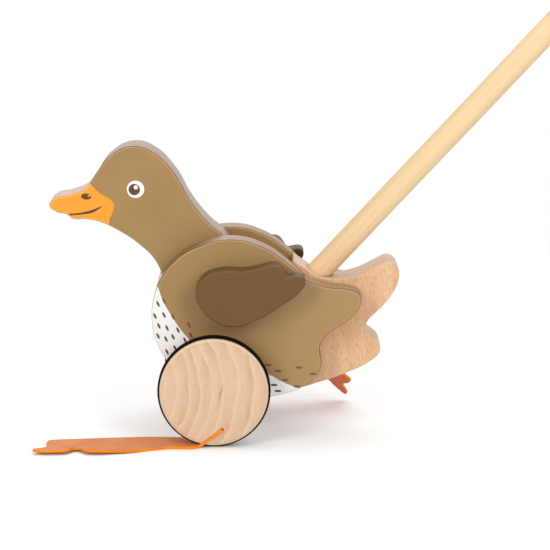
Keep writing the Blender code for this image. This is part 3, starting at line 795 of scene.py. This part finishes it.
def cut_away(piece, *tools):
    """Cuts the tools out of the piece and throws them away."""
    for tool in tools:
        pick_up(piece)
        cut = piece.modifiers.new("cut", "BOOLEAN")
        cut.operation = "DIFFERENCE"
        cut.solver = "EXACT"
        cut.object = tool
        bpy.ops.object.modifier_apply(modifier=cut.name)
        bpy.data.objects.remove(tool)


def smooth(piece):
    pick_up(piece)
    bpy.ops.object.shade_smooth_by_angle(angle=SMOOTH_ANGLE)


def dress(piece, slot, *finishes):
    """Gives a piece its finishes. The slot is not used."""
    for finish in finishes:
        piece.data.materials.append(finish)


def stand_in(piece, body, *nodes):
    """The piece moves with a body and is shown in place of these solids."""
    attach(piece, body)
    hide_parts(*nodes)


# ---------------------------------------------------------------- boards

def cross_drill(place):
    reach = FLANK_INNER + DOWEL_BITE + DOWEL_GAP
    return drill_along_y(DOWEL_RADIUS + DOWEL_GAP, -reach, reach, place)


def axle_drill():
    return drill_along_y(AXLE_BORE_RADIUS, -WHEEL_FACE, WHEEL_FACE, (0, 0))


def wing_drills(side_name):
    side = SIDES[side_name]
    ends = sorted(
        side * reach
        for reach in (FLANK_OUTER - WING_DOWEL_BITE - DOWEL_GAP, WING_INNER + WING_DOWEL_BITE + DOWEL_GAP)
    )
    return [
        drill_along_y(WING_DOWEL_RADIUS + DOWEL_GAP, *ends, (along, WING_BASE[side_name] + up))
        for along, up in WING_DOWELS
    ]


def socket_drill():
    """A drill along the stick's line, down to the socket's blind end."""
    start_fresh()
    low, high = -SOCKET_DEPTH - SOCKET_GAP, SOCKET_DRILL_TOP
    middle = (low + high) / 2
    bpy.ops.mesh.primitive_cylinder_add(
        vertices=STICK_STEPS, radius=STICK_RADIUS + SOCKET_GAP, depth=high - low, rotation=(0, STICK_LEAN, 0),
        location=(
            STICK_ENTRY[0] + middle * math.sin(STICK_LEAN), 0,
            AXLE_HEIGHT + STICK_ENTRY[1] + middle * math.cos(STICK_LEAN),
        ),
    )
    return bpy.context.object


def make_core():
    """The head board and the tail block, end to end between the flanks."""
    head = saw_board("duck_head", HEAD_OUTLINE, CORE_THICKNESS, 0, 0, BOARD_RIM)
    cut_away(head, cross_drill(NECK_DOWEL), cross_drill(BREAST_DOWEL), axle_drill())
    dress(head, "tan_print", printed_board("head_print", 0, CORE_THICKNESS, duck_face))
    tail = saw_board("duck_tail", TAIL_OUTLINE, CORE_THICKNESS, 0, 0, TAIL_RIM)
    cut_away(tail, cross_drill(RUMP_DOWEL), cross_drill(TAIL_DOWEL), socket_drill())
    dress(tail, "beech", beech_finish())
    for piece, node in ((head, "head_board"), (tail, "tail_block")):
        smooth(piece)
        stand_in(piece, "duck", node)


def make_sides():
    """Flanks and wings: the left ones are made, the right ones copied, then each is drilled."""
    flank = saw_board("left_flank_board", FLANK_OUTLINE, FLANK_THICKNESS, -FLANK_MIDDLE, 0, BOARD_RIM)
    wing = saw_board(
        "left_wing_board", WING_OUTLINE, WING_THICKNESS, -WING_MIDDLE, WING_BASE["left"], WING_RIM
    )
    boards = {
        "left": (flank, wing),
        "right": (
            mirrored_copy(flank, "right_flank_board"),
            mirrored_copy(wing, "right_wing_board", RIGHT_WING_LIFT),
        ),
    }
    wing_finish = brown_wing_finish()
    for side_name, (flank, wing) in boards.items():
        crossing = [cross_drill(place) for place in (NECK_DOWEL, BREAST_DOWEL, RUMP_DOWEL, TAIL_DOWEL)]
        cut_away(flank, *crossing, *wing_drills(side_name), axle_drill())
        cut_away(wing, *wing_drills(side_name))
        middle = SIDES[side_name] * FLANK_MIDDLE
        print_name = side_name + "_flank_print"
        dress(flank, "tan_print", printed_board(print_name, middle, FLANK_THICKNESS, speckled_belly))
        dress(wing, "brown_stain", wing_finish)
        for piece, kind in ((flank, "_flank"), (wing, "_wing")):
            smooth(piece)
            stand_in(piece, "duck", side_name + kind)


def make_stick():
    """The push stick: a long dowel with a rounded top, leaning back out of its socket."""
    start_fresh()
    top = STICK_LENGTH - SOCKET_DEPTH
    bpy.ops.mesh.primitive_cylinder_add(
        vertices=STICK_STEPS, radius=STICK_RADIUS, depth=STICK_LENGTH,
        location=(0, 0, top - STICK_LENGTH / 2),
    )
    stick = name_piece("stick")
    fix_place(stick)
    edit(stick)
    select_edges(stick, lambda edge: all(vertex.co.z > top - WELD for vertex in edge.verts))
    bpy.ops.mesh.bevel(offset=STICK_END_ROUND, segments=STICK_END_STEPS, affect="EDGES")
    select_edges(stick, lambda edge: all(vertex.co.z < -SOCKET_DEPTH + WELD for vertex in edge.verts))
    bpy.ops.mesh.bevel(offset=STICK_FOOT_ROUND, segments=STICK_FOOT_STEPS, affect="EDGES")
    select_faces(stick, lambda face: abs(face.normal.z) > FACES_AXIS)
    bpy.ops.mesh.inset(thickness=FLAT_MARGIN, depth=0)
    put_down()
    stick.rotation_euler = (0, STICK_LEAN, 0)
    stick.location = (STICK_ENTRY[0], 0, AXLE_HEIGHT + STICK_ENTRY[1])
    fix_place(stick)
    smooth(stick)
    wood = dowel_wood_finish("stick_birch", (0, STICK_LEAN, 0), STICK_PALE, STICK_DEEP)
    dress(stick, "birch", wood)
    stand_in(stick, "duck", "push_stick")


# ---------------------------------------------------------------- wheels and strap feet

def foot_bends(side):
    """The bend a foot takes at the rim: (radius, angle). The left one lies flat, the right one droops."""
    if side < 0:
        return FOLD_RADIUS, CUT_ANGLE
    return DROOP_RADIUS, CUT_ANGLE + DROOP_SLOPE


def split_place(side):
    """Where the strap leaves its bend."""
    bend_radius, bend_angle = foot_bends(side)
    return bend_radius * bend_angle


def foot_place(side, along):
    """(point, up) of the strap's middle at a distance along from the rim, as X and Z from the axle."""
    bend_radius, bend_angle = foot_bends(side)
    mouth = WHEEL_RADIUS * Vector((-math.sin(MOUTH_TURN), -math.cos(MOUTH_TURN)))
    heading = math.pi + CUT_ANGLE
    turn = min(max(along / bend_radius, 0), bend_angle)
    straight = along - turn * bend_radius
    start = Vector((math.cos(heading), math.sin(heading)))
    hub = mouth + bend_radius * Vector((start.y, -start.x))
    end = Vector((math.cos(heading - turn), math.sin(heading - turn)))
    up = Vector((end.y, -end.x))
    point = hub - bend_radius * up + straight * end
    return (point, up) if side < 0 else (-point, -up)


def foot_roll(side, along):
    """The strap's twist about its length: the drooping foot's outer edge hangs lower towards the toes."""
    if side < 0:
        return 0
    loose = max(along - split_place(side), 0)
    return -DROOP_TWIST * loose / (FOOT_LENGTH - split_place(side))


def strap_outline():
    """The flat strap: distance along from the rim, and place across out of the duck's side."""
    inner = WHEEL_FACE + STRAP_PROUD - STRAP_WIDTH
    end = WHEEL_FACE + TAB_PROUD
    tab = [(0, end), (-CUT_DEPTH, end), (-CUT_DEPTH, inner), (0, inner)]
    return tab + [(length * FOOT_LENGTH, inner + width * STRAP_WIDTH) for length, width in FOOT_OUTLINE]


def slice_at(places, normal):
    """Cuts the whole selected mesh across at each place, leaving both halves joined."""
    axis = Vector(normal)
    for place in places:
        bpy.ops.mesh.select_all(action="SELECT")
        bpy.ops.mesh.bisect(plane_co=axis * place, plane_no=normal)


def wrap_strap(strap, side, lift):
    """Lays a flat strap, with its length along X, round the foot's path."""
    for vertex in strap.data.vertices:
        along, across, thick = vertex.co
        point, up = foot_place(side, along)
        roll = foot_roll(side, along)
        outward = across - FOOT_MIDDLE
        thick += lift(along, outward)
        place = point + (thick * math.cos(roll) - outward * math.sin(roll)) * up
        across = FOOT_MIDDLE + outward * math.cos(roll) + thick * math.sin(roll)
        vertex.co = (place.x, side * across, AXLE_HEIGHT + place.y)
    cage = bmesh.new()
    cage.from_mesh(strap.data)
    inside_out = cage.calc_volume(signed=True) < 0
    cage.free()
    if inside_out:
        edit(strap)
        bpy.ops.mesh.flip_normals()
        put_down()


def bend_places(side):
    return [split_place(side) * step / FOLD_STEPS for step in range(FOLD_STEPS + 1)]


def saw_tool(side):
    """The saw's path through rim and tyre: the strap's own path, wider and a little thicker."""
    low, high = WHEEL_INNER - WHEEL_WIDTH / 2, WHEEL_FACE + WHEEL_WIDTH / 2
    start, end = -CUT_DEPTH - CUT_END_ROOM, split_place(side) + CUT_DEPTH / 2
    outline = [(start, low), (end, low), (end, high), (start, high)]
    tool = flat_piece("saw", outline, FOOT_THICKNESS / 2 + SLOT_FIT, 0, 1, range(4))
    edit(tool)
    slice_at(bend_places(side), (1, 0, 0))
    put_down()
    wrap_strap(tool, side, lambda along, outward: 0)
    return tool


def share_of(value, low, high):
    """How far a value is between two others, held at 0 and 1."""
    return min(max((value - low) / (high - low), 0), 1)


def left_lift(along, outward):
    """The left foot's edges curl up: the inner one half way along, the outer one from there to the toes."""
    length = share_of(along, 0, FOOT_LENGTH)
    inward = share_of(outward, STRAP_WIDTH / 2, -STRAP_WIDTH / 2)
    inner = INNER_EDGE_LIFT * math.sin(math.pi * length) * inward
    to_edge = share_of(outward, 0, STRAP_WIDTH * CURL_WIDTH)
    outer = OUTER_EDGE_LIFT * share_of(length, *CURL_LENGTH) * to_edge ** 2
    return inner + outer


def right_lift(along, outward):
    """The right foot cups a little across its width as it hangs."""
    return DROOP_CUP * share_of(along, CUP_START, FOOT_LENGTH) * math.cos(math.pi * outward / STRAP_WIDTH)


def make_foot(side_name, faces, cut_edge):
    """A strap foot in one piece, from its tab in the saw cut over the fold to the toes."""
    side = SIDES[side_name]
    foot = flat_piece(
        side_name + "_strap", strap_outline(), FOOT_THICKNESS / 2, STRAP_EDGE_ROUND, OUTLINE_STEPS, range(4)
    )
    edit(foot)
    steps = int(FOOT_LENGTH / STRAP_STEP)
    lengths = bend_places(side) + [-CUT_DEPTH / 2]
    lengths += [split_place(side) + STRAP_STEP * step for step in range(1, steps)]
    slice_at(lengths, (1, 0, 0))
    inner = FOOT_MIDDLE - STRAP_WIDTH / 2
    width = STRAP_WIDTH * max(share for _, share in FOOT_OUTLINE)
    slice_at([inner + width * strip / STRAP_STRIPS for strip in range(1, STRAP_STRIPS)], (0, 1, 0))
    put_down()
    for face in foot.data.polygons:
        face.material_index = 0 if abs(face.normal.z) > LIES_FLAT else 1
    wrap_strap(foot, side, left_lift if side < 0 else right_lift)
    smooth(foot)
    dress(foot, "orange_leather", faces, cut_edge)
    side * FOOT_MIDDLE
    side * FOOT_MIDDLE
    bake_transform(foot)
    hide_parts(side_name + "_foot_tab", side_name + "_foot")


def on_radius(edge, radius):
    return all(
        abs(math.hypot(vertex.co.x, vertex.co.z - AXLE_HEIGHT) - radius) < ROUND_SLACK
        for vertex in edge.verts
    )


def lies_across(edge):
    """True if the edge runs round the wheel and not along its axle."""
    return abs(edge.verts[0].co.y - edge.verts[1].co.y) < WELD


def turn_disc():
    """The left wheel's wooden disc: rounded edges, a groove for the tyre and a blind seat for the axle."""
    start_fresh()
    bpy.ops.mesh.primitive_cylinder_add(
        vertices=WHEEL_STEPS, radius=RIM_RADIUS, depth=WHEEL_WIDTH, rotation=(math.pi / 2, 0, 0),
        location=(0, -WHEEL_MIDDLE, AXLE_HEIGHT),
    )
    disc = name_piece("left_wheel_disc")
    fix_place(disc)
    edit(disc)
    select_edges(disc, lambda edge: on_radius(edge, RIM_RADIUS) and lies_across(edge))
    bpy.ops.mesh.bevel(offset=WHEEL_EDGE_ROUND, segments=WHEEL_EDGE_STEPS, affect="EDGES")
    groove_half = TYRE_WIDTH / 2 + GLUE_GAP
    slice_at([-WHEEL_MIDDLE - groove_half, -WHEEL_MIDDLE + groove_half], (0, 1, 0))
    select_faces(disc, lambda face: abs(face.calc_center_median().y + WHEEL_MIDDLE) < groove_half / 2)
    bpy.ops.mesh.extrude_region()
    narrowing = GROOVE_RADIUS / RIM_RADIUS
    bpy.ops.transform.resize(value=(narrowing, 1, narrowing), center_override=AXLE_MIDDLE)
    select_faces(disc, lambda face: abs(face.normal.y) > FACES_AXIS and len(face.verts) > 4)
    bpy.ops.mesh.inset(thickness=FLAT_MARGIN, depth=0)
    put_down()
    seat_end = -WHEEL_INNER - AXLE_SEAT_DEPTH
    cut_away(disc, drill_along_y(AXLE_BORE_RADIUS, seat_end, -WHEEL_INNER + WHEEL_WIDTH, (0, 0)))
    return disc


def stretch_tyre():
    """The left wheel's rubber band: an open hoop given its thickness, with soft shoulders."""
    start_fresh()
    bpy.ops.mesh.primitive_cylinder_add(
        vertices=WHEEL_STEPS, radius=WHEEL_RADIUS, depth=TYRE_WIDTH, end_fill_type="NOTHING",
        rotation=(math.pi / 2, 0, 0), location=(0, -WHEEL_MIDDLE, AXLE_HEIGHT),
    )
    tyre = name_piece("left_tyre_band")
    fix_place(tyre)
    wall = tyre.modifiers.new("wall", "SOLIDIFY")
    wall.thickness = TYRE_THICKNESS
    wall.offset = -1
    bpy.ops.object.modifier_apply(modifier=wall.name)
    edit(tyre)
    select_edges(tyre, lambda edge: on_radius(edge, WHEEL_RADIUS) and lies_across(edge))
    bpy.ops.mesh.bevel(offset=TYRE_SHOULDER, segments=TYRE_SHOULDER_STEPS, affect="EDGES")
    put_down()
    return tyre


def make_wheels():
    """Discs and tyres on both sides, each sawn for its strap foot."""
    disc, tyre = turn_disc(), stretch_tyre()
    pairs = {
        "left": (disc, tyre),
        "right": (mirrored_copy(disc, "right_wheel_disc"), mirrored_copy(tyre, "right_tyre_band")),
    }
    wood, rubber = wheel_wood_finish(), tyre_finish()
    for side_name, (disc, tyre) in pairs.items():
        side = SIDES[side_name]
        cut_away(disc, saw_tool(side))
        cut_away(tyre, saw_tool(side))
        dress(disc, "pale_beech", wood)
        dress(tyre, "rubber", rubber)
        for piece, kind in ((disc, "_wheel"), (tyre, "_tyre")):
            smooth(piece)
            stand_in(piece, "wheelset", side_name + kind)


def make_feet():
    """Both strap feet; the right one gets a redder copy of the same leather, painted for the shade and orange
    bounce light it hangs in.
    """
    faces = {
        "left": leather_finish("foot_leather", *LEFT_LEATHER, roughness=0.5, sheen=0.3),
        "right": leather_finish("shaded_red_foot_leather", *RIGHT_SHADED_LEATHER, roughness=0.5, sheen=0.3),
    }
    cut_edge = leather_finish("foot_cut_edge", *CUT_LEATHER, roughness=0.6, sheen=0.1)
    for side_name in SIDES:
        make_foot(side_name, faces[side_name], cut_edge)


# ---------------------------------------------------------------- solids that stay

def finish_solids():
    """Axle, hubs, washers and dowels keep their solids and get their woods and felt."""
    across = dowel_wood_finish("dowel_birch", (math.pi / 2, 0, 0), DOWEL_PALE, DOWEL_DEEP)
    hub = wheel_wood_finish()
    felt = felt_finish()
    for name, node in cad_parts.items():
        if node.hide_render:
            continue
        finish = felt if "washer" in name else hub if "hub" in name else across
        for index in range(len(node.material_slots)):
            node.material_slots[index].material = finish


# ---------------------------------------------------------------- stage

CAMERA_PLACE = (0.037716, -1.361790, 0.368362)
CAMERA_TILT = math.radians(11.2)
PHOTO_SIDE = 550
FOCAL_PIXELS = 2190
SENSOR = 36

FLOOR_SIZE = 12
FLOOR_CENTRE = (0.06, 0, 0)
FLOOR_FADE = (0.3, 0.75)
FLOOR_WHITE = (0.82, 0.82, 0.82, 1)
FLOOR_LIFT = 0.28
CORNER_REACH = 0.02
CORNER_SAMPLES = 8
WHITE = (1, 1, 1, 1)
AMBIENT = 0.4

# Each softbox: its place, what it faces, its width and height, and its watts
SOFTBOXES = {
    "top_softbox": ((0.05, 0.4, 1.25), (0.0, 0.0, 0.08), 1.4, 1.3, 8),
    "left_softbox": ((-0.9, -1.3, 0.85), (0.0, 0.0, 0.1), 0.6, 1.0, 11.3),
    "right_softbox": ((0.9, -1.3, 0.85), (0.0, 0.0, 0.1), 0.6, 1.0, 11.3),
}


def seen_directly(sheet):
    """1 for the camera and for what shines or lets light through, 0 for the light on the object."""
    path = [
        sheet.node("ShaderNodeLightPath", out=kind)
        for kind in ("Is Camera Ray", "Is Glossy Ray", "Is Transmission Ray")
    ]
    return path[0].most(path[1]).most(path[2])


def lay_floor():
    """A plain white floor that keeps the soft shadow and fades into the backdrop."""
    start_fresh()
    bpy.ops.mesh.primitive_plane_add(size=FLOOR_SIZE)
    floor = name_piece("floor")
    finish = Finish("white_floor")
    x, y, _ = finish.axes(finish.place(centre=FLOOR_CENTRE))
    far = ((x * x + y * y) ** 0.5).fade(*FLOOR_FADE)
    seen = seen_directly(finish)
    matt = finish.node("ShaderNodeBsdfDiffuse", sockets={"Color": FLOOR_WHITE})
    corner = finish.node(
        "ShaderNodeAmbientOcclusion", {"samples": CORNER_SAMPLES}, {"Distance": CORNER_REACH}, out="AO"
    )
    # The camera-only glow is held back where ambient occlusion finds the duck near: painted contact shade on
    # the floor
    glow = seen * corner * FLOOR_LIFT
    lift = finish.node("ShaderNodeEmission", sockets={"Color": WHITE, "Strength": glow})
    near = finish.node("ShaderNodeAddShader", sockets={0: matt, 1: lift})
    white = finish.node("ShaderNodeEmission", sockets={"Color": WHITE, "Strength": 1})
    shown = finish.node("ShaderNodeMixShader", sockets={0: far * seen, 1: near, 2: white})
    finish.node("ShaderNodeOutputMaterial", sockets={"Surface": shown})
    floor.data.materials.append(finish.material)


def light_backdrop():
    world = bpy.data.worlds.new("studio")
    bpy.context.scene.world = world
    sheet = Sheet(world)
    level = seen_directly(sheet) * (1 - AMBIENT) + AMBIENT
    shown = sheet.node("ShaderNodeBackground", sockets={"Color": WHITE, "Strength": level})
    sheet.node("ShaderNodeOutputWorld", sockets={"Surface": shown})


def hang_lamp(name, place, target, width, height, watts):
    start_fresh()
    bpy.ops.object.light_add(type="AREA", location=place)
    lamp = bpy.context.object
    lamp.name = name
    lamp.data.shape = "RECTANGLE"
    lamp.data.size = width
    lamp.data.size_y = height
    lamp.data.energy = watts
    lamp.rotation_euler = (Vector(target) - Vector(place)).to_track_quat("-Z", "Y").to_euler()


def set_camera():
    start_fresh()
    bpy.ops.object.camera_add(location=CAMERA_PLACE, rotation=(math.pi / 2 - CAMERA_TILT, 0, 0))
    camera = bpy.context.object
    camera.data.sensor_width = SENSOR
    camera.data.lens = FOCAL_PIXELS / PHOTO_SIDE * SENSOR
    bpy.context.scene.camera = camera


set_camera()
light_backdrop()
lay_floor()
for lamp_name, lamp_setup in SOFTBOXES.items():
    hang_lamp(lamp_name, *lamp_setup)

make_core()
make_sides()
make_stick()
make_wheels()
make_feet()
finish_solids()

bpy.context.scene.view_settings.view_transform = "Standard"
